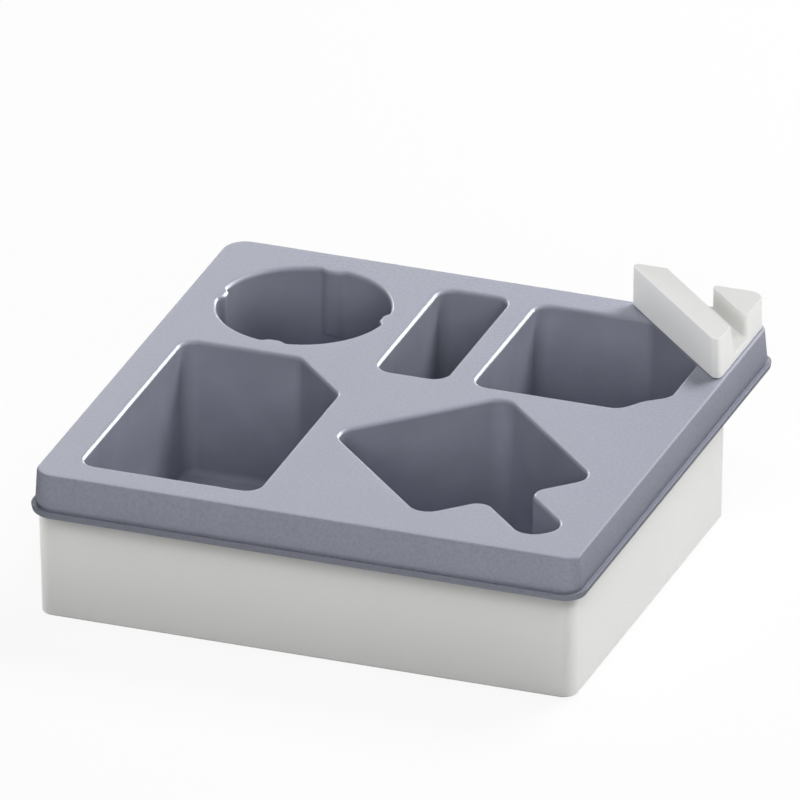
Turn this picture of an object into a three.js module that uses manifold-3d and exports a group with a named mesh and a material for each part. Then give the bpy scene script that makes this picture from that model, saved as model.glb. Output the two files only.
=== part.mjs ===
// Sofa cup holder: a soft tray with five pockets, set on an open box, with a plug-in phone stand.
// Millimetres, +Z up, +X to the right along the front, +Y to the rear. Origin at the bottom centre.

import * as THREE from 'three';
import Module from 'manifold-3d';
import { mergeVertices } from 'three/addons/utils/BufferGeometryUtils.js';

const wasm = await Module();
wasm.setup();

// Clearances
const seatGap = 0.3; // between a piece and what it rests on
const fitGap = 0.5; // around the base's collar inside the skirt
const pegGap = 0.3; // around a peg in its sleeve
const footGap = 0.3; // around a foot in its recess
const shellGap = 2; // snack pocket's outside to the base's cut wall

// Pocket layout, measured at the walls just below the rims
const rimMargin = 20.6; // deck edge to the walls of the outer pockets
const cupMargin = 19; // deck edge to the cup pocket
const handleMargin = 23.8; // deck edge to the round end of the handle slot
const web = 16.4; // deck between the pockets of the rear row
const cupWeb = 14.8; // deck between the cup pocket and the tub pocket
const mugWeb = 12.7; // deck between the mug pocket's rear corner and the rear row
const tubWeb = 18.6; // deck between the mug pocket's left corner and the tub pocket

// Pockets
const cupDiameter = 95.2;
const remoteWidth = 39.8;
const snackWidth = 106;
const mugWidth = 103.6; // across the handle slot
const mugLength = 110.2; // along the handle slot
const handleWidth = 24.8;
const handleReach = 104.6; // mug pocket's centre to the end of the handle slot
const handleFillet = 9.5; // where the handle slot opens into the mug pocket
const tubCut = 34.7; // cut rear corner of the tub pocket
const snackCutWidth = 21.2; // cut front corner of the snack pocket, along X
const snackCutDepth = 23.1; // and along Y
const snackBulge = 2.4; // how far that cut swells into the pocket
const bulgeRadius = 20;
const pocketCorner = 9;
const mugRound = 10.5; // corners of the mug pocket
const cutCorner = 7; // where a cut meets a side
const pocketDepth = 79.5;
const pocketDraft = 1; // degrees
const pocketWall = 2.4;
const pocketFloor = 2.7;
const floorFillet = 4;
const rimFillet = 2.5;

// Grip ribs in the cup pocket
const ribCount = 4;
const ribProud = 3;
const ribWidth = 13;
const ribLength = 38;
const ribEnd = 2.5; // slope under a rib

// Tray
const deckThickness = 3;
const deckCorner = 10.5;
const deckFillet = 1.4;
const skirtDrop = 20.2; // deck to the top of the bead
const skirtFlare = 1.1;
const skirtCorner = 10;
const skirtWall = 4.8; // at its foot
const beadRadius = 2.4;

// Base
const seatLedge = 2.1; // how far the base's shoulder reaches under the skirt
const baseTaper = 0.9; // degrees
const baseWall = 3;
const baseFloor = 3;
const collarWall = 2.2;
const baseEdge = 1.2; // round along the underside
const roomFillet = 2.5; // round along the floor inside
const baseCorner = 3; // where the cut rear corner meets the sides

// Feet
const footRadius = 12;
const footThickness = 2.2;
const footProud = 1;
const footInset = 30; // from the sides of the base

// Phone stand
const standReach = 83; // deck corner to the front face, along a deck edge
const standInset = 1.45; // the foot of its sides from the deck edges
const standLean = 0.6; // how far its sides lean in at the top
const standOverhang = 0.7; // front face past the snack pocket's wall
const barHeight = 24.4;
const barThickness = 15.6; // at the top
const barSlope = 4.5; // how much thicker the bar is at the slot floor
const phoneSlot = 17.8; // width of the slot at the top
const slotFloor = 5; // above the deck
const wedgeHeight = 18.6;
const standSkin = 2.6;
const standEdge = 1.2;
const standFrontCorner = 3.8;
const standSideCorner = 3;
const standOuterCorner = 8.5;
const pegRadius = 4;
const pegLength = 12; // below the top of the deck
const pegSpacing = 28;
const sleeveWall = 2.4;
const sleeveDrop = 10; // below the deck

// Facets
const cornerSteps = 4;
const filletSteps = 3;
const beadSteps = 6;
const cupSteps = 96;
const roundSteps = 28;
const overlap = 0.5; // how far joined solids run into each other
const past = 2; // how far a cut runs past a face
const sharpest = 0.1; // least radius of a corner

// Heights
const baseBottom = footProud;
const baseFloorTop = baseBottom + baseFloor;
const pocketBottom = baseFloorTop + seatGap;
const pocketFloorTop = pocketBottom + pocketFloor;
const deckTop = pocketFloorTop + pocketDepth;
const deckUnder = deckTop - deckThickness;
const beadTop = deckTop - skirtDrop;
const beadMiddle = beadTop - beadRadius;
const beadBottom = beadMiddle - beadRadius;
const shoulder = beadBottom - seatGap;
const collarTop = deckUnder - seatGap;
const standBottom = deckTop + seatGap;
const barTop = deckTop + barHeight;
const wedgeTop = deckTop + wedgeHeight;
const slotBottom = deckTop + slotFloor;

// Plan of the deck
const diagonal = Math.SQRT2;
const degree = Math.PI / 180;
const deckWidth = cupMargin + cupDiameter + web + remoteWidth + web + snackWidth + rimMargin;
const deckHalf = deckWidth / 2;
const skirtHalf = deckHalf + skirtFlare;
const wallLine = deckHalf - rimMargin;
const cupRadius = cupDiameter / 2;
const cupCentre = new THREE.Vector2(cupMargin + cupRadius - deckHalf, deckHalf - cupMargin - cupRadius);
const handleRound = handleWidth / 2;
const mugInset = (handleReach - handleRound) / diagonal + handleRound + handleMargin;
const mugCentre = new THREE.Vector2(deckHalf - mugInset, mugInset - deckHalf);
const mugCornerReach = (mugWidth + mugLength) / 2 / diagonal - mugRound * (diagonal - 1);
const rowFront = mugCentre.y + mugCornerReach + mugWeb;
const remoteLeft = cupCentre.x + cupRadius + web;
const snackLeft = remoteLeft + remoteWidth + web;
const tubRight = mugCentre.x - mugCornerReach - tubWeb;
const tubRear = cupCentre.y - cupRadius - cupWeb;

// Lines at 45 degrees across the rear right corner, as their values of x + y
const standFront = 2 * deckHalf - standReach;
const snackCut = standFront + standOverhang * diagonal;
const baseCut = snackCut + (pocketWall + shellGap + baseWall) * diagonal;

function corner(x, y, radius) {
  return { x, y, radius };
}

// Points of an outline whose corners run anticlockwise, with its sides moved outwards by grow.
function outline(corners, grow = 0) {
  const points = [];
  corners.forEach((here, i) => {
    const before = corners.at(i - 1);
    const after = corners[(i + 1) % corners.length];
    const arriving = Math.atan2(here.y - before.y, here.x - before.x);
    const leaving = Math.atan2(after.y - here.y, after.x - here.x);
    const turn = Math.atan2(Math.sin(leaving - arriving), Math.cos(leaving - arriving));
    const side = Math.sign(turn);
    const radius = Math.max(here.radius + side * grow, sharpest);
    const middle = arriving - Math.PI / 2 + turn / 2;
    const reach = (grow - side * radius) / Math.cos(turn / 2);
    for (let step = 0; step <= cornerSteps; step += 1) {
      const angle = arriving - Math.PI / 2 + (turn * step) / cornerSteps;
      points.push(new THREE.Vector2(
        here.x + reach * Math.cos(middle) + side * radius * Math.cos(angle),
        here.y + reach * Math.sin(middle) + side * radius * Math.sin(angle),
      ));
    }
  });
  return points;
}

// A closed three.js geometry as a solid that can be joined and cut.
function solid(geometry) {
  geometry.deleteAttribute('normal');
  geometry.deleteAttribute('uv');
  const merged = mergeVertices(geometry);
  return new wasm.Manifold(new wasm.Mesh({
    numProp: 3,
    vertProperties: merged.getAttribute('position').array,
    triVerts: Uint32Array.from(merged.index.array),
  }));
}

// A solid through a stack of outlines with equal numbers of points, from the lowest up.
function loft(layers) {
  const steps = layers.length - 1;
  const lowest = layers[0].points;
  const place = (x, y) => `${Math.fround(x)} ${Math.fround(y)}`;
  const order = new Map(lowest.map((point, i) => [place(point.x, point.y), i]));
  const geometry = new THREE.ExtrudeGeometry(new THREE.Shape(lowest), { depth: steps, steps, bevelEnabled: false });
  const position = geometry.getAttribute('position');
  for (let i = 0; i < position.count; i += 1) {
    const layer = layers[Math.round(position.getZ(i))];
    const point = layer.points[order.get(place(position.getX(i), position.getY(i)))];
    position.setXYZ(i, point.x, point.y, layer.z);
  }
  return solid(geometry);
}

// An upright cylinder between two heights.
function post(x, y, radius, low, high) {
  const geometry = new THREE.CylinderGeometry(radius, radius, high - low, roundSteps);
  geometry.rotateX(Math.PI / 2);
  geometry.translate(x, y, (low + high) / 2);
  return solid(geometry);
}

// A prism across the rear right corner. Its profile is drawn in depth along the diagonal and height.
function cornerPrism(profile, length) {
  const geometry = new THREE.ExtrudeGeometry(
    new THREE.Shape(profile.map(([depth, height]) => new THREE.Vector2(depth, height))),
    { depth: length, bevelEnabled: false },
  );
  geometry.translate(0, 0, -length / 2);
  geometry.applyMatrix4(new THREE.Matrix4().makeBasis(
    new THREE.Vector3(1, 1, 0).normalize(),
    new THREE.Vector3(0, 0, 1),
    new THREE.Vector3(1, -1, 0).normalize(),
  ));
  return solid(geometry);
}

function quarterTurns(steps) {
  return Array.from({ length: steps + 1 }, (_, step) => (step / steps) * (Math.PI / 2));
}

function square(half, radius) {
  return [
    corner(-half, -half, radius),
    corner(half, -half, radius),
    corner(half, half, radius),
    corner(-half, half, radius),
  ];
}

// Pocket outlines. Each takes how far its sides move outwards, and the cup also how proud its ribs stand.
function cupOutline(grow, proud) {
  const halfRib = ribWidth / 2 / cupRadius;
  const spacing = (2 * Math.PI) / ribCount;
  return Array.from({ length: cupSteps }, (_, step) => {
    const angle = (2 * Math.PI * step) / cupSteps;
    const fromRib = Math.abs(angle - spacing * Math.round(angle / spacing));
    const rise = fromRib < halfRib ? Math.cos((fromRib / halfRib) * (Math.PI / 2)) ** 2 : 0;
    const radius = cupRadius + grow - proud * rise;
    return new THREE.Vector2(
      cupCentre.x + radius * Math.cos(angle),
      cupCentre.y + radius * Math.sin(angle),
    );
  });
}

const tubCorners = [
  corner(-wallLine, -wallLine, pocketCorner),
  corner(tubRight, -wallLine, pocketCorner),
  corner(tubRight, tubRear - tubCut, cutCorner),
  corner(tubRight - tubCut, tubRear, cutCorner),
  corner(-wallLine, tubRear, pocketCorner),
];

const remoteCorners = [
  corner(remoteLeft, rowFront, pocketCorner),
  corner(remoteLeft + remoteWidth, rowFront, pocketCorner),
  corner(remoteLeft + remoteWidth, wallLine, pocketCorner),
  corner(remoteLeft, wallLine, pocketCorner),
];

const snackCorners = [
  corner(snackLeft, rowFront, pocketCorner),
  corner(wallLine - snackCutWidth, rowFront, pocketCorner),
  corner(
    wallLine - snackCutWidth / 2 - snackBulge / diagonal,
    rowFront + snackCutDepth / 2 + snackBulge / diagonal,
    bulgeRadius,
  ),
  corner(wallLine, rowFront + snackCutDepth, pocketCorner),
  corner(wallLine, snackCut - wallLine, cutCorner),
  corner(snackCut - wallLine, wallLine, cutCorner),
  corner(snackLeft, wallLine, pocketCorner),
];

// The mug pocket lies at 45 degrees. Its corners are given along the handle and across it.
function mugCorner(along, across, radius) {
  return corner(mugCentre.x + (along + across) / diagonal, mugCentre.y + (across - along) / diagonal, radius);
}

const mugCorners = [
  mugCorner(-mugLength / 2, -mugWidth / 2, mugRound),
  mugCorner(mugLength / 2, -mugWidth / 2, mugRound),
  mugCorner(mugLength / 2, -handleRound, handleFillet),
  mugCorner(handleReach, -handleRound, handleRound),
  mugCorner(handleReach, handleRound, handleRound),
  mugCorner(mugLength / 2, handleRound, handleFillet),
  mugCorner(mugLength / 2, mugWidth / 2, mugRound),
  mugCorner(-mugLength / 2, mugWidth / 2, mugRound),
];

const pockets = [
  cupOutline,
  (grow) => outline(tubCorners, grow),
  (grow) => outline(remoteCorners, grow),
  (grow) => outline(snackCorners, grow),
  (grow) => outline(mugCorners, grow),
];

const floorInset = pocketDepth * Math.tan(pocketDraft * degree);

function draftAt(z) {
  return (floorInset * (deckTop - z)) / pocketDepth;
}

// The room inside a pocket, with a round at the floor and at the rim, and ribs down from the rim.
function pocketRoom(plan) {
  const layers = quarterTurns(filletSteps).map((turn) => ({
    z: pocketFloorTop + floorFillet * (1 - Math.cos(turn)),
    points: plan(-floorInset - floorFillet * (1 - Math.sin(turn)), 0),
  }));
  const ribFoot = deckTop - ribLength;
  layers.push({ z: ribFoot - ribEnd, points: plan(-draftAt(ribFoot - ribEnd), 0) });
  layers.push({ z: ribFoot, points: plan(-draftAt(ribFoot), ribProud) });
  quarterTurns(filletSteps).forEach((turn) => layers.push({
    z: deckTop - rimFillet + rimFillet * Math.sin(turn),
    points: plan(rimFillet * (1 - Math.cos(turn)) - draftAt(deckTop - rimFillet), ribProud),
  }));
  layers.push({ z: deckTop + past, points: plan(rimFillet, ribProud) });
  return loft(layers);
}

// The outside of a pocket, from its floor up into the deck.
function pocketShell(plan) {
  return loft([
    { z: pocketBottom, points: plan(pocketWall - floorInset - floorFillet / 2, 0) },
    { z: pocketBottom + floorFillet / 2, points: plan(pocketWall - floorInset, 0) },
    { z: deckUnder + overlap, points: plan(pocketWall, 0) },
  ]);
}

// Places of the stand's pegs: under the middle of the slot floor, either side of the diagonal.
const depthFront = standFront / diagonal;
const depthBarTop = depthFront + barThickness;
const depthBarFoot = depthBarTop + barSlope;
const depthWedge = depthBarTop + phoneSlot;
const pegs = [-1, 1].map((way) => {
  const depth = (depthBarFoot + depthWedge) / 2;
  return new THREE.Vector2(depth - (way * pegSpacing) / 2, depth + (way * pegSpacing) / 2)
    .divideScalar(diagonal);
});

function makeTray() {
  const layers = [];
  for (let step = 0; step <= beadSteps; step += 1) {
    const turn = Math.PI * (step / beadSteps - 0.5);
    const swell = beadRadius * Math.cos(turn);
    layers.push({
      z: beadMiddle + beadRadius * Math.sin(turn),
      points: outline(square(skirtHalf + swell, skirtCorner + swell)),
    });
  }
  quarterTurns(filletSteps).forEach((turn) => {
    const drawn = deckFillet * (1 - Math.cos(turn));
    layers.push({
      z: deckTop - deckFillet + deckFillet * Math.sin(turn),
      points: outline(square(deckHalf - drawn, deckCorner - drawn)),
    });
  });
  const hollow = outline(square(skirtHalf - skirtWall, skirtCorner - skirtWall));
  let tray = loft(layers).subtract(loft([
    { z: beadBottom - past, points: hollow },
    { z: deckUnder, points: hollow },
  ]));
  pegs.forEach(({ x, y }) => {
    const outside = pegRadius + pegGap + sleeveWall;
    tray = tray.add(post(x, y, outside, deckUnder - sleeveDrop, deckUnder + overlap));
  });
  pockets.forEach((plan) => {
    tray = tray.add(pocketShell(plan));
  });
  pockets.forEach((plan) => {
    tray = tray.subtract(pocketRoom(plan));
  });
  pegs.forEach(({ x, y }) => {
    const low = deckUnder - sleeveDrop - past;
    tray = tray.subtract(post(x, y, pegRadius + pegGap, low, deckTop + past));
  });
  return tray;
}

// The base follows the skirt's outline, with its rear right corner cut off under the phone stand.
const baseInset = skirtWall - seatLedge;
const baseOuter = skirtHalf - baseInset;
const collarInset = seatLedge + fitGap;
const baseCorners = [
  corner(-baseOuter, -baseOuter, skirtCorner - baseInset),
  corner(baseOuter, -baseOuter, skirtCorner - baseInset),
  corner(baseOuter, baseCut - baseOuter, baseCorner),
  corner(baseCut - baseOuter, baseOuter, baseCorner),
  corner(-baseOuter, baseOuter, skirtCorner - baseInset),
];

function taperAt(z) {
  return (shoulder - z) * Math.tan(baseTaper * degree);
}

const footCorner = baseOuter - taperAt(baseBottom) - footInset;
const footCut = baseCut / 2 - footInset / diagonal;
const footPlaces = {
  foot_front_left: [-footCorner, -footCorner],
  foot_front_right: [footCorner, -footCorner],
  foot_rear_left: [-footCorner, footCorner],
  foot_rear_right: [footCut, footCut],
};
const footTop = footThickness;

function makeBase() {
  const plan = (grow) => outline(baseCorners, grow);
  const layers = quarterTurns(filletSteps).map((turn) => {
    const z = baseBottom + baseEdge * (1 - Math.cos(turn));
    return { z, points: plan(-taperAt(z) - baseEdge * (1 - Math.sin(turn))) };
  });
  layers.push({ z: shoulder, points: plan(0) });
  layers.push({ z: shoulder, points: plan(-collarInset) });
  layers.push({ z: collarTop, points: plan(-collarInset) });
  const room = loft([
    { z: baseFloorTop, points: plan(-taperAt(baseFloorTop) - baseWall - roomFillet) },
    { z: baseFloorTop + roomFillet, points: plan(-taperAt(baseFloorTop) - baseWall) },
    { z: shoulder - baseWall, points: plan(-baseWall) },
    { z: shoulder, points: plan(-collarInset - collarWall) },
    { z: collarTop + past, points: plan(-collarInset - collarWall) },
  ]);
  let base = loft(layers).subtract(room);
  Object.values(footPlaces).forEach(([x, y]) => {
    base = base.subtract(post(x, y, footRadius + footGap, baseBottom - past, footTop + footGap));
  });
  return base;
}

function makeStand() {
  const plan = (lean, grow) => {
    const side = deckHalf - standInset - lean;
    return outline([
      corner(side, standFront - side, standFrontCorner),
      corner(side, side, standOuterCorner),
      corner(standFront - side, side, standSideCorner),
    ], grow);
  };
  const block = loft([
    { z: standBottom, points: plan(0, 0) },
    { z: barTop - standEdge, points: plan(standLean, 0) },
    { z: barTop, points: plan(standLean, -standEdge) },
  ]);
  const length = 2 * standReach;
  const depthEnd = depthFront + standReach;
  const slopeTop = depthBarTop - (barSlope * past) / (barTop - slotBottom);
  const slot = cornerPrism([
    [depthBarFoot, slotBottom],
    [depthWedge, slotBottom],
    [depthWedge, wedgeTop],
    [depthEnd, wedgeTop],
    [depthEnd, barTop + past],
    [slopeTop, barTop + past],
  ], length);
  const inside = loft([
    { z: standBottom - past, points: plan(0, -standSkin) },
    { z: barTop, points: plan(standLean, -standSkin) },
  ]);
  const hollow = cornerPrism([
    [depthFront, standBottom - past],
    [depthEnd, standBottom - past],
    [depthEnd, wedgeTop - standSkin],
    [depthWedge + standSkin, wedgeTop - standSkin],
    [depthWedge + standSkin, slotBottom - standSkin],
    [depthBarFoot - standSkin, slotBottom - standSkin],
    [depthBarTop - standSkin, barTop - standSkin],
    [depthFront, barTop - standSkin],
  ], length).intersect(inside);
  let stand = block.subtract(slot).subtract(hollow);
  pegs.forEach(({ x, y }) => {
    stand = stand.add(post(x, y, pegRadius, deckTop - pegLength, slotBottom - standSkin + overlap));
  });
  return stand;
}

function piece(name, shape, look) {
  const { vertProperties, triVerts } = shape.getMesh();
  const geometry = new THREE.BufferGeometry();
  geometry.setAttribute('position', new THREE.BufferAttribute(vertProperties, 3));
  geometry.setIndex(new THREE.BufferAttribute(triVerts, 1));
  geometry.computeVertexNormals();
  const mesh = new THREE.Mesh(geometry, new THREE.MeshStandardMaterial(look));
  mesh.name = name;
  return mesh;
}

const trayLook = { color: 0x9093a0, roughness: 0.75, metalness: 0 };
const baseLook = { color: 0xdcdcd8, roughness: 0.45, metalness: 0 };
const standLook = { color: 0xe6e6e3, roughness: 0.6, metalness: 0 };
const footLook = { color: 0x3b3c40, roughness: 0.9, metalness: 0 };

const holder = new THREE.Group();
holder.add(piece('base_box', makeBase(), baseLook));
holder.add(piece('tray', makeTray(), trayLook));
holder.add(piece('phone_stand', makeStand(), standLook));
Object.entries(footPlaces).forEach(([name, [x, y]]) => {
  holder.add(piece(name, post(x, y, footRadius, 0, footTop), footLook));
});

export default holder;
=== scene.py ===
import math

import bmesh
import bpy
from mathutils import Matrix, Vector


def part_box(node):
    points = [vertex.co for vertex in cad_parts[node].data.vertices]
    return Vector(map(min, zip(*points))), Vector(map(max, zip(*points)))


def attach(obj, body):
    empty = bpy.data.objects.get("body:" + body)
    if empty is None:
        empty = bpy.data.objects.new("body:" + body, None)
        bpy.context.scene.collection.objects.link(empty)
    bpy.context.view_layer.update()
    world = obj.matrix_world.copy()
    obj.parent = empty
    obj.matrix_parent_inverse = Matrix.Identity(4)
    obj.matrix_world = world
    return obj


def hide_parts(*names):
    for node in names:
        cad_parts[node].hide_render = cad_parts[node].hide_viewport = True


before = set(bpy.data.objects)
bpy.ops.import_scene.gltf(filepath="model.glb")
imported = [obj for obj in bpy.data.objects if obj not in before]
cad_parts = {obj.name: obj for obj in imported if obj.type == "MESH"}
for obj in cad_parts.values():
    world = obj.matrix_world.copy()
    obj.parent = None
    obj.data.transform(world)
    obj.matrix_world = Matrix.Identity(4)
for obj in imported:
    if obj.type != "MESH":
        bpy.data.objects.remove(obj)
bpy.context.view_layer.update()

# Sofa cup holder: a silicone tray on an open plastic box, with a plug-in phone stand and four feet.
# Shapes are modelled in millimetres, in the frame's own axes, and made metres when a piece is finished.
mm = 0.001
diagonal = math.sqrt(2)
cornerSteps = 10
holeSteps = 40
sharpAngle = 35  # degrees, past which an edge is shaded sharp
# how near counts as the same, in millimetres
sameHeight = 0.001
samePoint = 0.002
closeBy = 0.01
alongLine = 0.1
levelNormal = 0.99  # a face is level when its normal rises by more
print("frame loaded:", ", ".join(sorted(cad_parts)))


def nodeBox(node):
    low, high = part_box(node)
    return low / mm, high / mm


# Outlines. Corners are (x, y, radius), anticlockwise.
def grownCorners(corners, grow):
    grown = []
    for i, (x, y, radius) in enumerate(corners):
        here = Vector((x, y))
        arriving = (here - Vector(corners[i - 1][:2])).normalized()
        leaving = (Vector(corners[(i + 1) % len(corners)][:2]) - here).normalized()
        outside = Vector((arriving.y, -arriving.x)) + Vector((leaving.y, -leaving.x))
        turn = -arriving.angle_signed(leaving)
        spot = here + outside * grow / (1 + arriving.dot(leaving))
        grown.append((spot.x, spot.y, radius + math.copysign(grow, turn), abs(turn)))
    return grown


# a flat face with round corners, its sides moved out by grow
def roundedFace(bm, corners, z, grow=0):
    known = set(bm.faces)
    grown = grownCorners(corners, grow)
    verts = [bm.verts.new((x, y, z)) for x, y, radius, turn in grown]
    bm.faces.new(verts)
    for vert, (x, y, radius, turn) in zip(verts, grown):
        bmesh.ops.bevel(bm, geom=[vert], offset=radius * math.tan(turn / 2), offset_type="OFFSET",
                        affect="VERTICES", segments=cornerSteps, profile=0.5, material=-1,
                        clamp_overlap=False)
    return next(face for face in bm.faces if face not in known)


def squareCorners(half, radii):
    frontLeft, frontRight, rearRight, rearLeft = radii
    return [(-half, -half, frontLeft), (half, -half, frontRight),
            (half, half, rearRight), (-half, half, rearLeft)]


def insetFace(bm, face, thickness, depth=0):
    made = bmesh.ops.inset_region(bm, faces=[face], thickness=thickness, depth=depth,
                                  use_boundary=True, use_even_offset=True)
    return made["faces"]


def roundEdges(bm, edges, offset, steps):
    bmesh.ops.bevel(bm, geom=edges, offset=offset, offset_type="OFFSET", affect="EDGES", segments=steps,
                    profile=0.5, material=-1, loop_slide=True, clamp_overlap=False)


def sharedEdges(some, others):
    others = set(others)
    return list({edge for face in some for edge in face.edges if others.intersection(edge.link_faces)})


# drops a face and keeps its outline
def openFace(bm, face):
    edges = list(face.edges)
    bmesh.ops.delete(bm, geom=[face], context="FACES_ONLY")
    return edges


# drops the largest level face at one height
def openFlat(bm, z):
    flat = [face for face in bm.faces
            if abs(face.calc_center_median().z - z) < closeBy and abs(face.normal.z) > levelNormal]
    openFace(bm, max(flat, key=lambda face: face.calc_area()))


def openLoop(bm, corners, z, grow=0):
    return openFace(bm, roundedFace(bm, corners, z, grow))


def circleLoop(bm, x, y, z, radius, steps=holeSteps):
    made = bmesh.ops.create_circle(bm, segments=steps, radius=radius, matrix=Matrix.Translation((x, y, z)))
    return list({edge for vert in made["verts"] for edge in vert.link_edges})


def bridge(bm, one, other):
    return bmesh.ops.bridge_loops(bm, edges=one + other)["faces"]


# flat skin between the open outlines at one height
def fillFlat(bm, z, leaveOut=()):
    leaveOut = set(leaveOut)
    edges = [edge for edge in bm.edges if len(edge.link_faces) < 2 and edge not in leaveOut
             and all(abs(vert.co.z - z) < sameHeight for vert in edge.verts)]
    bmesh.ops.triangle_fill(bm, use_beauty=True, use_dissolve=False, edges=edges, normal=(0, 0, 1))


def finishPiece(bm, name, body, nodes, material):
    bmesh.ops.remove_doubles(bm, verts=bm.verts, dist=samePoint)
    bmesh.ops.recalc_face_normals(bm, faces=bm.faces)
    bmesh.ops.scale(bm, vec=(mm, mm, mm), verts=bm.verts)
    gaps = sum(not edge.is_manifold for edge in bm.edges)
    mesh = bpy.data.meshes.new(name)
    bm.to_mesh(mesh)
    bm.free()
    mesh.shade_smooth()
    mesh.set_sharp_from_angle(angle=math.radians(sharpAngle))
    mesh.materials.append(material)
    piece = bpy.data.objects.new(name, mesh)
    bpy.context.scene.collection.objects.link(piece)
    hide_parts(*nodes)
    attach(piece, body)
    mesh.calc_loop_triangles()
    print(name, "made:", len(mesh.loop_triangles), "triangles,", gaps, "open edges")
    return piece


# Noise that all the finishes share
noiseDetail = {"Grain": 2.0, "Mottle": 4.0}
noiseLow = 0.3  # most of the noise lies between these two
noiseHigh = 0.7


def makeGrainGroup():
    group = bpy.data.node_groups.new("mouldedGrain", "ShaderNodeTree")
    for label in noiseDetail:
        group.interface.new_socket(name=label + " Scale", in_out="INPUT", socket_type="NodeSocketFloat")
    for label in noiseDetail:
        group.interface.new_socket(name=label, in_out="OUTPUT", socket_type="NodeSocketFloat")
    nodes = group.nodes
    links = group.links
    inside = nodes.new("NodeGroupInput")
    outside = nodes.new("NodeGroupOutput")
    coords = nodes.new("ShaderNodeTexCoord")
    for label, detail in noiseDetail.items():
        noise = nodes.new("ShaderNodeTexNoise")
        noise.inputs["Detail"].default_value = detail
        links.new(coords.outputs["Object"], noise.inputs["Vector"])
        links.new(inside.outputs[label + " Scale"], noise.inputs["Scale"])
        links.new(noise.outputs["Fac"], outside.inputs[label])
    return group


grainGroup = makeGrainGroup()


# one moulded finish: two close colours, grain in the roughness and a fine bump.
# The tray's has smoother, coated pockets as well, and painted shade that darkens its lip.
def mouldedFinish(name, look):
    material = bpy.data.materials.new(name)
    material.use_nodes = True
    nodes = material.node_tree.nodes
    links = material.node_tree.links
    shader = nodes["Principled BSDF"]
    grain = nodes.new("ShaderNodeGroup")
    grain.node_tree = grainGroup
    grain.inputs["Grain Scale"].default_value = look["grainScale"]
    grain.inputs["Mottle Scale"].default_value = look["mottleScale"]
    colours = nodes.new("ShaderNodeValToRGB")
    colours.color_ramp.elements[0].position = 0.5 - look["spread"]
    colours.color_ramp.elements[1].position = 0.5 + look["spread"]
    colours.color_ramp.elements[0].color = (*look["dark"], 1)
    colours.color_ramp.elements[1].color = (*look["pale"], 1)
    blend = nodes.new("ShaderNodeMix")
    blend.inputs["Factor"].default_value = look["grainShare"]
    links.new(grain.outputs["Mottle"], blend.inputs["A"])
    links.new(grain.outputs["Grain"], blend.inputs["B"])
    blended = blend.outputs["Result"]
    rough = nodes.new("ShaderNodeMapRange")
    rough.inputs["From Min"].default_value = noiseLow
    rough.inputs["From Max"].default_value = noiseHigh
    rough.inputs["To Min"].default_value = look["rough"][0]
    rough.inputs["To Max"].default_value = look["rough"][1]
    roughness = rough.outputs["Result"]
    shader.inputs["Specular IOR Level"].default_value = look["gloss"]
    if "polished" in look:
        polish = nodes.new("ShaderNodeAttribute")
        polish.attribute_name = "polish"
        smoother = nodes.new("ShaderNodeMix")
        smoother.inputs["B"].default_value = look["polished"]
        links.new(polish.outputs["Fac"], smoother.inputs["Factor"])
        links.new(roughness, smoother.inputs["A"])
        roughness = smoother.outputs["Result"]
        shader.inputs["Coat Roughness"].default_value = look["polished"]
        shader.inputs["Coat IOR"].default_value = look["coatIor"]
        links.new(polish.outputs["Fac"], shader.inputs["Coat Weight"])
        plainer = nodes.new("ShaderNodeMix")
        links.new(polish.outputs["Fac"], plainer.inputs["Factor"])
        links.new(blended, plainer.inputs["A"])
        links.new(grain.outputs["Mottle"], plainer.inputs["B"])
        blended = plainer.outputs["Result"]
    bump = nodes.new("ShaderNodeBump")
    bump.inputs["Strength"].default_value = look["bump"]
    bump.inputs["Distance"].default_value = look["bumpHeight"] * mm
    shader.inputs["Sheen Weight"].default_value = look.get("sheen", 0)
    links.new(blended, colours.inputs["Fac"])
    colour = colours.outputs["Color"]
    # painted shade: the colour on the lip is scaled darker
    if "lipPaintedShade" in look:
        lip = nodes.new("ShaderNodeAttribute")
        lip.attribute_name = "lip"
        lipShadeScale = nodes.new("ShaderNodeMapRange")
        lipShadeScale.inputs["To Min"].default_value = 1
        lipShadeScale.inputs["To Max"].default_value = look["lipPaintedShade"]
        shade = nodes.new("ShaderNodeVectorMath")
        shade.operation = "SCALE"
        links.new(lip.outputs["Fac"], lipShadeScale.inputs["Value"])
        links.new(lipShadeScale.outputs["Result"], shade.inputs["Scale"])
        links.new(colour, shade.inputs[0])
        colour = shade.outputs["Vector"]
    links.new(colour, shader.inputs["Base Color"])
    links.new(grain.outputs["Grain"], rough.inputs["Value"])
    links.new(roughness, shader.inputs["Roughness"])
    links.new(grain.outputs["Grain"], bump.inputs["Height"])
    links.new(bump.outputs["Normal"], shader.inputs["Normal"])
    return material


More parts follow.
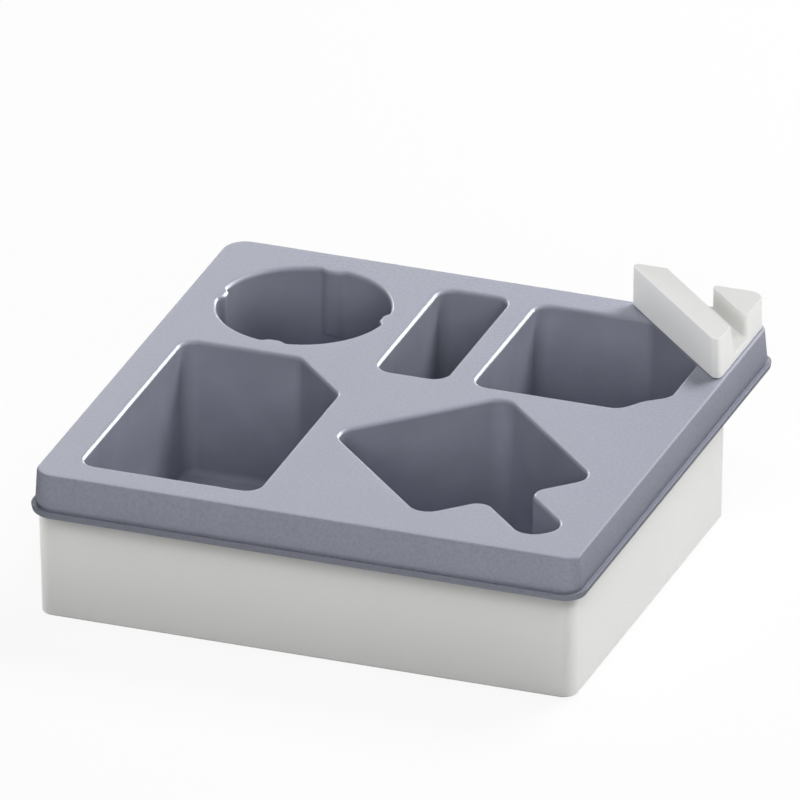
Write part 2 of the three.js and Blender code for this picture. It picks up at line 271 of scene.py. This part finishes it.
# Tray
tray = {
    "beadRadius": 2.4,
    "skirtFlare": 1.1,
    "skirtDrop": 20.2,  # deck to the top of the bead
    "skirtCorners": (12.5, 10, 10, 11),  # front left, front right, rear right, rear left
    "skirtWall": 4.8,
    "skirtBack": 5.2,  # round of its inside corners
    "grooveWidth": 1.6,
    "grooveDepth": 0.6,
    "grooveDrop": 1,  # below the lip's crest
    "lipTuck": 0.9,  # how far the lip draws in towards its underside
    "lipCrest": 0.9,
    "lipFoot": 1.5,
    "deckCorners": (11, 6.5, 10.5, 13),
    "deckEdge": 1.4,
    "deckThickness": 3,
    "rimMargin": 20.6,  # deck edge to the outer pockets
    "cupMargin": 19,
    "handleMargin": 23.8,
    "web": 16.4,  # deck between the pockets of the rear row
    "cupWeb": 14.8,
    "mugWeb": 12.7,
    "tubWeb": 18.6,
    "band": 4.2,  # flat ring round each rim
    "wall": 2.4,
    "floor": 2.7,
    "draft": 1,  # degrees
    "rimEdge": 2.5,
    "polishDrop": 0.2,
    "floorEdge": 4,
    "edgeSteps": 6,
    "lipSteps": 5,
    "underBand": 1,  # flat ring round each pocket's outside
    "underSteps": 4,
}
pocket = {
    "corner": 9,
    "cutCorner": 7,
    "cupRadius": 47.6,
    "cupSteps": 240,
    "remoteWidth": 39.8,
    "snackCutWidth": 21.2,
    "snackCutDepth": 23.1,
    "snackBulge": 2.4,
    "bulgeRadius": 20,
    "tubCut": 34.7,
    "mugWidth": 103.6,
    "mugLength": 110.2,
    "mugCorner": 10.5,
    "handleHalf": 12.4,
    "handleFlat": 1.9,  # left between the two rounds of its end
    "handleReach": 104.6,
    "handleFillet": 9.5,
}
rib = {
    "count": 4,
    "proud": 3,
    "halfWidth": 7.8,
    "flat": 2.4,
    "length": 38,
    "end": 2.5,
    "edge": 0.8,
    "edgeSteps": 2,
}

trayLow, trayHigh = nodeBox("tray")
deckTop = trayHigh.z
deckUnder = deckTop - tray["deckThickness"]
skirtHalf = trayHigh.x - tray["beadRadius"]
deckHalf = skirtHalf - tray["skirtFlare"]
beadTop = deckTop - tray["skirtDrop"]
beadBottom = beadTop - 2 * tray["beadRadius"]
pocketBottom = trayLow.z
pocketDepth = deckTop - pocketBottom - tray["floor"]
slope = math.tan(math.radians(tray["draft"]))

# Phone stand sizes that the tray and the base also follow
stand = {
    "reach": 83,  # deck corner to the front face, along a deck edge
    "inset": 1.45,
    "lean": 0.6,
    "overhang": 0.7,
    "barThickness": 15.6,
    "barSlope": 4.5,
    "slot": 17.8,
    "slotFloor": 5,  # above the deck
    "wedgeHeight": 18.6,
    "skin": 2.6,
    "gap": 0.3,
    "frontCorner": 3.8,
    "sideCorner": 3,
    "outerCorner": 8.5,
    "wedgeCorner": 2,
    "edge": 0.8,
    "footEdge": 0.6,
    "pegRadius": 4,
    "pegSpacing": 28,
    "sleeveGap": 0.3,
    "sleeveWall": 2.4,
    "sleeveDrop": 10,
    "pegEdge": 1,
    "cornerSteps": 8,
    "wedgeSteps": 6,
    "edgeSteps": 4,
    "footSteps": 3,
    "flatAngle": 0.3,  # degrees, under which two faces are made one
    "crispAngle": 0.5,  # radians, over which an edge is rounded
}
standLow, standHigh = nodeBox("phone_stand")
standFront = 2 * deckHalf - stand["reach"]  # x + y along the front face
depthFront = standFront / diagonal
depthBarTop = depthFront + stand["barThickness"]
depthBarFoot = depthBarTop + stand["barSlope"]
depthWedge = depthBarTop + stand["slot"]
pegDepth = (depthBarFoot + depthWedge) / 2
pegReach = stand["pegSpacing"] / 2
pegPlaces = [((pegDepth + across) / diagonal, (pegDepth - across) / diagonal)
             for across in (-pegReach, pegReach)]
snackCut = standFront + stand["overhang"] * diagonal


def pocketPlans():
    edge = deckHalf - tray["rimMargin"]
    cup = tray["cupMargin"] + pocket["cupRadius"] - deckHalf
    remoteLeft = cup + pocket["cupRadius"] + tray["web"]
    remoteRight = remoteLeft + pocket["remoteWidth"]
    snackLeft = remoteRight + tray["web"]
    half = pocket["handleHalf"]
    mug = deckHalf - tray["handleMargin"] - half - (pocket["handleReach"] - half) / diagonal
    mugCorner = pocket["mugCorner"]
    mugReach = (pocket["mugWidth"] + pocket["mugLength"]) / 2 / diagonal - mugCorner * (diagonal - 1)
    rowFront = mugReach + tray["mugWeb"] - mug
    tubRight = mug - mugReach - tray["tubWeb"]
    tubRear = -cup - pocket["cupRadius"] - tray["cupWeb"]
    corner = pocket["corner"]
    cutCorner = pocket["cutCorner"]
    swell = pocket["snackBulge"] / diagonal

    # the mug pocket lies at 45 degrees, so its corners are given along the handle and across it
    def turned(along, across, radius):
        return mug + (along + across) / diagonal, -mug + (across - along) / diagonal, radius

    mugEnd = pocket["mugLength"] / 2
    mugSide = pocket["mugWidth"] / 2
    handleEnd = half - pocket["handleFlat"] / 2
    reach = pocket["handleReach"]
    fillet = pocket["handleFillet"]
    plans = {
        "tub": [(-edge, -edge, corner), (tubRight, -edge, corner),
                (tubRight, tubRear - pocket["tubCut"], cutCorner),
                (tubRight - pocket["tubCut"], tubRear, cutCorner), (-edge, tubRear, corner)],
        "remote": [(remoteLeft, rowFront, corner), (remoteRight, rowFront, corner),
                   (remoteRight, edge, corner), (remoteLeft, edge, corner)],
        "snack": [(snackLeft, rowFront, corner), (edge - pocket["snackCutWidth"], rowFront, corner),
                  (edge - pocket["snackCutWidth"] / 2 - swell, rowFront + pocket["snackCutDepth"] / 2 + swell,
                   pocket["bulgeRadius"]),
                  (edge, rowFront + pocket["snackCutDepth"], corner), (edge, snackCut - edge, cutCorner),
                  (snackCut - edge, edge, cutCorner), (snackLeft, edge, corner)],
        "mug": [turned(-mugEnd, -mugSide, mugCorner), turned(mugEnd, -mugSide, mugCorner),
                turned(mugEnd, -half, fillet), turned(reach, -half, handleEnd),
                turned(reach, half, handleEnd), turned(mugEnd, half, fillet),
                turned(mugEnd, mugSide, mugCorner), turned(-mugEnd, mugSide, mugCorner)],
    }
    return plans, Vector((cup, -cup, 0))


plans, cupCentre = pocketPlans()


# a round face over the cup pocket
def cupFace(bm, z, grow):
    made = bmesh.ops.create_circle(bm, cap_ends=True, segments=pocket["cupSteps"],
                                   radius=pocket["cupRadius"] + grow,
                                   matrix=Matrix.Translation((cupCentre.x, cupCentre.y, z)))
    return made["verts"][0].link_faces[0]


# moves the wall of the cup pocket in at the ribs
def pressRibs(verts, proud):
    for vert in verts:
        spoke = vert.co - cupCentre
        spoke.z = 0
        spacing = 2 * math.pi / rib["count"]
        angle = math.atan2(spoke.y, spoke.x)
        away = abs(angle - spacing * round(angle / spacing)) * pocket["cupRadius"]
        share = min(max((rib["halfWidth"] - away) / (rib["halfWidth"] - rib["flat"]), 0), 1)
        vert.co -= spoke.normalized() * proud * share * share * (3 - 2 * share)


def sinkPocket(bm, face):
    band = insetFace(bm, face, tray["band"])
    wall = insetFace(bm, face, pocketDepth * slope, -pocketDepth)
    roundEdges(bm, sharedEdges(band, wall), tray["rimEdge"], tray["edgeSteps"])
    roundEdges(bm, list(face.edges), tray["floorEdge"], tray["edgeSteps"])


def sinkCup(bm, face):
    band = insetFace(bm, face, tray["band"])
    pressRibs(face.verts, rib["proud"])
    upper = insetFace(bm, face, rib["length"] * slope, -rib["length"])
    end = insetFace(bm, face, rib["end"] * slope, -rib["end"])
    pressRibs(face.verts, -rib["proud"])
    rest = pocketDepth - rib["length"] - rib["end"]
    lower = insetFace(bm, face, rest * slope, -rest)
    feet = sharedEdges(upper, end)
    ends = sharedEdges(end, lower)
    roundEdges(bm, sharedEdges(band, upper), tray["rimEdge"], tray["edgeSteps"])
    roundEdges(bm, list(face.edges), tray["floorEdge"], tray["edgeSteps"])
    roundEdges(bm, feet, rib["edge"], rib["edgeSteps"])
    roundEdges(bm, ends, rib["edge"], rib["edgeSteps"])


def makeTray(material):
    bm = bmesh.new()
    deck = roundedFace(bm, squareCorners(deckHalf, tray["deckCorners"]), deckTop)
    rim = insetFace(bm, deck, tray["band"])
    deckLoop = [edge for face in rim for edge in face.edges if edge.is_boundary]
    openFace(bm, deck)
    for corners in plans.values():
        sinkPocket(bm, roundedFace(bm, corners, deckTop, tray["band"]))
    sinkCup(bm, cupFace(bm, deckTop, tray["band"]))
    bore = stand["pegRadius"] + stand["sleeveGap"]
    holes = [circleLoop(bm, x, y, deckTop, bore) for x, y in pegPlaces]
    fillFlat(bm, deckTop, deckLoop)
    lip = bm.verts.layers.float.new("lip")
    polish = bm.verts.layers.float.new("polish")
    for vert in bm.verts:
        # the pockets are smooth from their rims down
        vert[polish] = vert.co.z < deckTop - tray["polishDrop"]

    # skirt, groove, lip, foot and the inside of the skirt
    def skirtLoop(out, z):
        return openLoop(bm, squareCorners(skirtHalf, tray["skirtCorners"]), z, out)

    def insideLoop(z):
        return openLoop(bm, squareCorners(skirtHalf - tray["skirtWall"], [tray["skirtBack"]] * 4), z)

    bead = tray["beadRadius"]
    grooveTop = beadTop + tray["grooveWidth"]
    grooveFloor = beadTop - tray["grooveDrop"]
    crest = skirtLoop(bead, beadTop)
    lipFoot = skirtLoop(bead - tray["lipTuck"], beadBottom)
    loops = [deckLoop, skirtLoop(0, grooveTop), skirtLoop(-tray["grooveDepth"], beadTop),
             skirtLoop(-tray["grooveDepth"], grooveFloor), crest, lipFoot, insideLoop(beadBottom),
             insideLoop(deckUnder)]
    for one, other in zip(loops, loops[1:]):
        bridge(bm, one, other)
    for vert in {vert for edge in [*crest, *lipFoot] for vert in edge.verts}:
        vert[lip] = 1  # painted shade: the rolled lip's colour is made darker
    roundEdges(bm, deckLoop, tray["deckEdge"], tray["edgeSteps"])
    roundEdges(bm, crest, tray["lipCrest"], tray["lipSteps"])
    roundEdges(bm, lipFoot, tray["lipFoot"], tray["lipSteps"])

    # outsides of the pockets and the sleeves for the pegs, then the underside between them
    outsideDepth = deckUnder - pocketBottom
    grow = tray["wall"] + tray["underBand"]
    for corners in [*plans.values(), None]:
        face = roundedFace(bm, corners, deckUnder, grow) if corners else cupFace(bm, deckUnder, grow)
        insetFace(bm, face, tray["underBand"])
        insetFace(bm, face, outsideDepth * slope, -outsideDepth)
        roundEdges(bm, list(face.edges), tray["floorEdge"] / 2, tray["underSteps"])
    sleeve = bore + stand["sleeveWall"]
    sleeveFoot = deckUnder - stand["sleeveDrop"]
    for (x, y), hole in zip(pegPlaces, holes):
        inner = circleLoop(bm, x, y, sleeveFoot, bore)
        outer = circleLoop(bm, x, y, sleeveFoot, sleeve)
        bridge(bm, hole, inner)
        bridge(bm, inner, outer)
        bridge(bm, outer, circleLoop(bm, x, y, deckUnder, sleeve))
    fillFlat(bm, deckUnder)
    return finishPiece(bm, "traySilicone", "tray", ["tray"], material)


# Base box
base = {
    "taper": 0.9,  # degrees
    "wall": 3,
    "floor": 3,
    "ledge": 2.1,  # shoulder under the skirt
    "gap": 0.3,  # shoulder to the skirt's foot
    "fit": 0.5,
    "collarWall": 2.2,
    "cutCorner": 3,
    "collarCut": 8,  # the collar's own round at the cut corner
    "rim": 1.8,
    "edge": 1.2,
    "floorEdge": 2.5,
    "shoulderEdge": 0.5,
    "shellGap": 2,
    "edgeSteps": 5,
    "shoulderSteps": 3,
}
foot = {
    "radius": 12,
    "gap": 0.3,
    "edge": 0.5,
    "edgeSteps": 3,
    "steps": 64,
    "rings": 3,  # of tread
    "ringSpacing": 2.24,
    "ringWidth": 1.4,
    "ringSlope": 0.35,
    "ringDepth": 0.35,
}

baseLow, baseHigh = nodeBox("base_box")
shoulder = beadBottom - base["gap"]
baseHalf = baseHigh.x
baseCut = snackCut + (tray["wall"] + base["shellGap"] + base["wall"]) * diagonal
baseRound = tray["skirtBack"] + base["ledge"]


# square with its rear right corner cut off
def baseCorners(cutRadius):
    return [(-baseHalf, -baseHalf, baseRound), (baseHalf, -baseHalf, baseRound),
            (baseHalf, baseCut - baseHalf, cutRadius), (baseCut - baseHalf, baseHalf, cutRadius),
            (-baseHalf, baseHalf, baseRound)]


wallCorners = baseCorners(base["cutCorner"])
collarCorners = baseCorners(base["collarCut"])
footNodes = ["foot_front_left", "foot_front_right", "foot_rear_left", "foot_rear_right"]


def footPlace(node):
    low, high = nodeBox(node)
    return (low + high) / 2


def makeBase(material):
    bm = bmesh.new()
    lean = math.tan(math.radians(base["taper"]))
    collar = base["ledge"] + base["fit"]

    # the outer and the inner edges of a flat ring
    def flatRing(corners, z, grow, width):
        face = roundedFace(bm, corners, z, grow)
        ring = insetFace(bm, face, width)
        outer = [edge for part in ring for edge in part.edges if edge.is_boundary]
        return outer, openFace(bm, face)

    floorTop = baseLow.z + base["floor"]
    foundation = flatRing(wallCorners, baseLow.z, -(shoulder - baseLow.z) * lean, base["rim"])[0]
    recesses = [circleLoop(bm, spot.x, spot.y, baseLow.z, foot["radius"] + foot["gap"], foot["steps"])
                for spot in map(footPlace, footNodes)]
    fillFlat(bm, baseLow.z, foundation)
    for node, recess in zip(footNodes, recesses):
        made = bmesh.ops.extrude_edge_only(bm, edges=recess)["geom"]
        lid = [part for part in made if isinstance(part, bmesh.types.BMEdge)]
        bmesh.ops.translate(bm, vec=(0, 0, nodeBox(node)[1].z + foot["gap"] - baseLow.z),
                            verts=[part for part in made if isinstance(part, bmesh.types.BMVert)])
        bmesh.ops.edgeloop_fill(bm, edges=lid)
    wallTop = flatRing(wallCorners, shoulder, 0, base["rim"])[0]
    collarFoot = openLoop(bm, collarCorners, shoulder, -collar)
    fillFlat(bm, shoulder, wallTop)
    collarTop, collarMouth = flatRing(collarCorners, baseHigh.z, -collar, base["collarWall"])
    collarBack = openLoop(bm, collarCorners, shoulder, -collar - base["collarWall"])
    wallBack = openLoop(bm, collarCorners, shoulder - base["wall"], -base["wall"])
    room = roundedFace(bm, collarCorners, floorTop, -(shoulder - floorTop) * lean - base["wall"])
    for one, other in ((foundation, wallTop), (collarFoot, collarTop), (collarMouth, collarBack),
                       (collarBack, wallBack), (wallBack, list(room.edges))):
        bridge(bm, one, other)
    bmesh.ops.recalc_face_normals(bm, faces=bm.faces)
    roundEdges(bm, list(room.edges), base["floorEdge"], base["edgeSteps"])
    roundEdges(bm, foundation, base["edge"], base["edgeSteps"])
    roundEdges(bm, wallTop + collarTop + collarMouth, base["shoulderEdge"], base["shoulderSteps"])
    return finishPiece(bm, "baseBox", "base", ["base_box"], material)


def makeFoot(node, material):
    bm = bmesh.new()
    low, high = nodeBox(node)
    bmesh.ops.create_cone(bm, cap_ends=True, segments=foot["steps"], radius1=foot["radius"],
                          radius2=foot["radius"], depth=high.z - low.z,
                          matrix=Matrix.Translation(footPlace(node)))
    sole = min(bm.faces, key=lambda face: face.calc_center_median().z)
    rims = list(sole.edges)
    for ring in range(foot["rings"]):
        insetFace(bm, sole, foot["ringSpacing"])
        insetFace(bm, sole, foot["ringSlope"], -foot["ringDepth"])
        insetFace(bm, sole, foot["ringWidth"])
        insetFace(bm, sole, foot["ringSlope"], foot["ringDepth"])
    roundEdges(bm, rims, foot["edge"], foot["edgeSteps"])
    return finishPiece(bm, node.replace("foot_", "footPad_"), "base", [node], material)


# Phone stand
def standPoint(depth, across, z):
    return (depth + across) / diagonal, (depth - across) / diagonal, z


# a bar along the corner's other diagonal, cut by the two leaning sides
def standPrism(bm, profile, skin):
    known = set(bm.verts)
    length = stand["reach"]
    face = bm.faces.new([bm.verts.new(standPoint(depth, -length, z)) for depth, z in profile])
    made = bmesh.ops.extrude_face_region(bm, geom=[face])["geom"]
    moved = [part for part in made if isinstance(part, bmesh.types.BMVert)]
    bmesh.ops.translate(bm, vec=standPoint(0, 2 * length, 0), verts=moved)
    side = deckHalf - stand["inset"] - skin
    height = standHigh.z - deckTop - stand["gap"]
    for axis in (Vector((1, 0, 0)), Vector((0, 1, 0))):
        mine = [vert for vert in bm.verts if vert not in known]
        geom = list({part for vert in mine for part in (vert, *vert.link_edges, *vert.link_faces)})
        footLine = axis * side + Vector((0, 0, deckTop + stand["gap"]))
        outward = axis * height + Vector((0, 0, stand["lean"]))
        made = bmesh.ops.bisect_plane(bm, geom=geom, plane_co=footLine, plane_no=outward, clear_outer=True)
        cut = [part for part in made["geom_cut"] if isinstance(part, bmesh.types.BMEdge)]
        bmesh.ops.edgeloop_fill(bm, edges=cut)


def makeStand(material):
    bm = bmesh.new()
    footZ = deckTop + stand["gap"]
    barTop = standHigh.z
    wedgeTop = deckTop + stand["wedgeHeight"]
    slotZ = deckTop + stand["slotFloor"]
    skin = stand["skin"]
    farEnd = depthFront + stand["reach"]
    standPrism(bm, [(depthFront, footZ), (farEnd, footZ), (farEnd, wedgeTop), (depthWedge, wedgeTop),
                    (depthWedge, slotZ), (depthBarFoot, slotZ), (depthBarTop, barTop),
                    (depthFront, barTop)], 0)
    block = [*bm.verts, *bm.edges, *bm.faces]
    bmesh.ops.bisect_plane(bm, geom=block, plane_co=(0, 0, slotZ), plane_no=(0, 0, 1))
    bmesh.ops.remove_doubles(bm, verts=bm.verts, dist=closeBy)
    bmesh.ops.recalc_face_normals(bm, faces=bm.faces)
    uprights = {"front": [], "side": [], "outer": [], "wedge": []}
    for edge in bm.edges:
        one, other = edge.verts
        if abs(one.co.z - other.co.z) < slotZ - footZ - alongLine:
            continue
        middle = (one.co + other.co) / 2
        if abs(middle.x + middle.y - standFront) < alongLine:
            uprights["front" if middle.x > middle.y else "side"].append(edge)
        elif abs(middle.x - middle.y) < alongLine:
            uprights["outer"].append(edge)
        elif abs((middle.x + middle.y) / diagonal - depthWedge) < alongLine:
            uprights["wedge"].append(edge)
    acute = math.tan(math.radians(67.5))  # how far a round of 1 mm runs along a 45 degree corner
    wedgeRun = stand["wedgeCorner"] * acute
    wedgeFeet = [min(edge.verts, key=lambda vert: vert.co.z).co.copy() for edge in uprights["wedge"]]
    roundEdges(bm, uprights["front"], stand["frontCorner"] * acute, stand["cornerSteps"])
    roundEdges(bm, uprights["side"], stand["sideCorner"] * acute, stand["cornerSteps"])
    roundEdges(bm, uprights["outer"], stand["outerCorner"], stand["cornerSteps"])
    roundEdges(bm, uprights["wedge"], wedgeRun, stand["wedgeSteps"])
    bmesh.ops.dissolve_limit(bm, angle_limit=math.radians(stand["flatAngle"]), verts=bm.verts, edges=bm.edges)
    bm.normal_update()

    # the short ends of the slot floor, under the wedge's rounds, stay sharp
    def atWedgeFoot(edge):
        return any(all((vert.co - spot).length < wedgeRun + alongLine for vert in edge.verts) and
                   all(abs(vert.co.z - slotZ) < closeBy for vert in edge.verts) for spot in wedgeFeet)

    crisp = [edge for edge in bm.edges if len(edge.link_faces) == 2
             and edge.calc_face_angle() > stand["crispAngle"] and not atWedgeFoot(edge)]
    upper = [edge for edge in crisp if max(vert.co.z for vert in edge.verts) > footZ + alongLine]
    lower = [edge for edge in crisp if edge not in upper]
    roundEdges(bm, upper, stand["edge"], stand["edgeSteps"])
    roundEdges(bm, [edge for edge in lower if edge.is_valid], stand["footEdge"], stand["footSteps"])

    # hollow underside with the two pegs
    sole = min(bm.faces, key=lambda face: (round(face.calc_center_median().z, 2), -face.calc_area()))
    openFace(bm, sole)
    ceiling = slotZ - skin
    standPrism(bm, [(depthFront + skin, footZ), (farEnd, footZ), (farEnd, wedgeTop - skin),
                    (depthWedge + skin, wedgeTop - skin), (depthWedge + skin, ceiling),
                    (depthBarFoot - skin, ceiling), (depthBarTop - skin, barTop - skin),
                    (depthFront + skin, barTop - skin)], skin)
    openFlat(bm, footZ)
    fillFlat(bm, footZ)
    openFlat(bm, ceiling)
    pegLoops = [circleLoop(bm, x, y, ceiling, stand["pegRadius"]) for x, y in pegPlaces]
    fillFlat(bm, ceiling)
    for (x, y), loop in zip(pegPlaces, pegLoops):
        end = circleLoop(bm, x, y, standLow.z, stand["pegRadius"])
        bridge(bm, loop, end)
        bmesh.ops.edgeloop_fill(bm, edges=end)
        roundEdges(bm, end, stand["pegEdge"], stand["footSteps"])
    return finishPiece(bm, "phoneStand", "stand", ["phone_stand"], material)


# Finishes
siliconeLook = {
    "dark": (0.315, 0.327, 0.395),
    "pale": (0.36, 0.373, 0.445),
    "grainScale": 520,
    "mottleScale": 30,
    "grainShare": 0.85,
    "spread": 0.15,
    "rough": (0.46, 0.58),
    "polished": 0.26,
    "coatIor": 1.22,
    "bump": 0.14,
    "bumpHeight": 0.15,
    "gloss": 0.04,
    # painted shade: the share of its colour that the lip keeps
    "lipPaintedShade": 0.7,
}
boxLook = {
    "dark": (0.735, 0.735, 0.715),
    "pale": (0.765, 0.765, 0.745),
    "grainScale": 3000,
    "mottleScale": 25,
    "grainShare": 0.4,
    "spread": 0.3,
    "rough": (0.26, 0.34),
    "bump": 0.05,
    "bumpHeight": 0.08,
    "gloss": 0.5,
}
standLook = {
    "dark": (0.81, 0.81, 0.795),
    "pale": (0.84, 0.84, 0.825),
    "grainScale": 2600,
    "mottleScale": 35,
    "grainShare": 0.5,
    "spread": 0.3,
    "rough": (0.42, 0.52),
    "bump": 0.1,
    "bumpHeight": 0.1,
    "gloss": 0.4,
}
footLook = {
    "dark": (0.035, 0.036, 0.04),
    "pale": (0.055, 0.056, 0.06),
    "grainScale": 1800,
    "mottleScale": 120,
    "grainShare": 0.5,
    "spread": 0.25,
    "rough": (0.7, 0.85),
    "bump": 0.3,
    "bumpHeight": 0.2,
    "gloss": 0.35,
    "sheen": 0.1,
}
# the grey and the white mouldings are lit by lamps of their own
greyMouldings = bpy.data.collections.new("greyMouldings")
whiteMouldings = bpy.data.collections.new("whiteMouldings")
greyMouldings.objects.link(makeTray(mouldedFinish("greyBlueSilicone", siliconeLook)))
whiteMouldings.objects.link(makeBase(mouldedFinish("satinBoxPlastic", boxLook)))
whiteMouldings.objects.link(makeStand(mouldedFinish("matteStandPlastic", standLook)))
padRubber = mouldedFinish("darkPadRubber", footLook)
for node in footNodes:
    greyMouldings.objects.link(makeFoot(node, padRubber))

# Camera
view = {
    "azimuth": 20.01,
    "elevation": 25.9,
    "lens": 1690,
    "sensor": 36,
    "frameWidth": 0.43485,  # metres across the picture at the tray
    "right": -1.15,  # where it aims, from the middle of the deck
    "up": -1.35,
    "clipNear": 0.5,  # shares of its distance
    "clipFar": 1.5,
}


def makeCamera():
    data = bpy.data.cameras.new("camera")
    data.lens = view["lens"]
    data.sensor_width = view["sensor"]
    distance = view["frameWidth"] * view["lens"] / view["sensor"]
    data.clip_start = distance * view["clipNear"]
    data.clip_end = distance * view["clipFar"]
    turn = math.radians(view["azimuth"])
    rise = math.radians(view["elevation"])
    back = Vector((math.sin(turn) * math.cos(rise), -math.cos(turn) * math.cos(rise), math.sin(rise)))
    facing = (-back).to_track_quat("-Z", "Y")
    aim = Vector((0, 0, deckTop)) + facing @ Vector((view["right"], view["up"], 0))
    camera = bpy.data.objects.new("camera", data)
    camera.rotation_mode = "QUATERNION"
    camera.rotation_quaternion = facing
    camera.location = aim * mm + back * distance
    bpy.context.scene.collection.objects.link(camera)
    bpy.context.scene.camera = camera


makeCamera()
print("camera placed")

# Stage and light
studio = {
    "floorSize": 3.0,
    "floorBounce": 0.7,  # grey of the floor for the light that it throws back
    "floorSeen": 0.9,
    "floorWhite": 0.9,
    "sky": 0.02,
    "lampDistance": 2.7,
    # name, degrees round from +X towards +Y, degrees up, size, watts
    "trayLamps": [
        ("trayFront", -72, 19, 1.35, 27),
        ("trayRight", 60, 50, 1.35, 61),
        ("trayTop", 180, 84, 1.35, 16),
    ],
    # seen only in gloss, for the sheen on the deck and the bright rims
    "glintLamps": [
        ("deckSheen", 124, 26, 1.35, 68),
        ("sideGlint", 62, 17, 2.25, 250),
        ("rearGlint", 102, 9, 0.6, 8),
    ],
    "whiteLamps": [
        ("whiteLeft", -150, 22, 1.35, 24.5),
        ("whiteFarLeft", 180, 20, 1.35, 19.5),
        ("whiteFront", -90, 38, 1.35, 5.5),
        ("whiteHigh", -45, 55, 1.35, 44),
        ("whiteRight", 25, 22, 1.35, 29.5),
    ],
}


def seenDirectly(nodes, links):
    rays = nodes.new("ShaderNodeLightPath")
    total = rays.outputs["Is Camera Ray"]
    for label in ("Is Glossy Ray", "Is Transmission Ray"):
        add = nodes.new("ShaderNodeMath")
        add.operation = "MAXIMUM"
        links.new(total, add.inputs[0])
        links.new(rays.outputs[label], add.inputs[1])
        total = add.outputs["Value"]
    return total


def makeStage():
    bm = bmesh.new()
    bmesh.ops.create_grid(bm, x_segments=2, y_segments=2, size=studio["floorSize"])
    mesh = bpy.data.meshes.new("floor")
    bm.to_mesh(mesh)
    bm.free()
    floor = bpy.data.objects.new("floor", mesh)
    bpy.context.scene.collection.objects.link(floor)
    greyMouldings.objects.link(floor)
    paper = bpy.data.materials.new("floorPaper")
    paper.use_nodes = True
    nodes = paper.node_tree.nodes
    links = paper.node_tree.links
    nodes.clear()
    matte = nodes.new("ShaderNodeBsdfDiffuse")
    grey = nodes.new("ShaderNodeMapRange")
    grey.inputs["To Min"].default_value = studio["floorBounce"]
    grey.inputs["To Max"].default_value = studio["floorSeen"]
    white = nodes.new("ShaderNodeEmission")
    mix = nodes.new("ShaderNodeMixShader")
    share = nodes.new("ShaderNodeMath")
    share.operation = "MULTIPLY"
    share.inputs[1].default_value = studio["floorWhite"]
    out = nodes.new("ShaderNodeOutputMaterial")
    seen = seenDirectly(nodes, links)
    links.new(seen, grey.inputs["Value"])
    links.new(grey.outputs["Result"], matte.inputs["Color"])
    links.new(seen, share.inputs[0])
    links.new(share.outputs["Value"], mix.inputs["Fac"])
    links.new(matte.outputs["BSDF"], mix.inputs[1])
    links.new(white.outputs["Emission"], mix.inputs[2])
    links.new(mix.outputs["Shader"], out.inputs["Surface"])
    mesh.materials.append(paper)

    world = bpy.data.worlds.new("studioSky")
    bpy.context.scene.world = world
    world.use_nodes = True
    nodes = world.node_tree.nodes
    links = world.node_tree.links
    sky = nodes["Background"]
    strength = nodes.new("ShaderNodeMapRange")
    strength.inputs["To Min"].default_value = studio["sky"]
    strength.inputs["To Max"].default_value = 1
    links.new(seenDirectly(nodes, links), strength.inputs["Value"])
    links.new(strength.outputs["Result"], sky.inputs["Strength"])
    sky.inputs["Color"].default_value = (1, 1, 1, 1)


def hangLamps(lamps, lit, onlyGloss=False):
    middle = Vector((0, 0, deckTop * mm))
    for name, turn, rise, size, watts in lamps:
        data = bpy.data.lights.new(name, "AREA")
        data.shape = "DISK"
        data.size = size
        data.energy = watts
        lamp = bpy.data.objects.new(name, data)
        turn = math.radians(turn)
        rise = math.radians(rise)
        away = Vector((math.cos(turn) * math.cos(rise), math.sin(turn) * math.cos(rise), math.sin(rise)))
        lamp.location = middle + away * studio["lampDistance"]
        lamp.rotation_euler = (-away).to_track_quat("-Z", "Y").to_euler()
        lamp.light_linking.receiver_collection = lit
        lamp.visible_diffuse = not onlyGloss
        bpy.context.scene.collection.objects.link(lamp)


makeStage()
hangLamps(studio["trayLamps"], greyMouldings)
hangLamps(studio["glintLamps"], greyMouldings, onlyGloss=True)
hangLamps(studio["whiteLamps"], whiteMouldings)
bpy.context.scene.view_settings.view_transform = "Standard"
print("stage and lamps set")
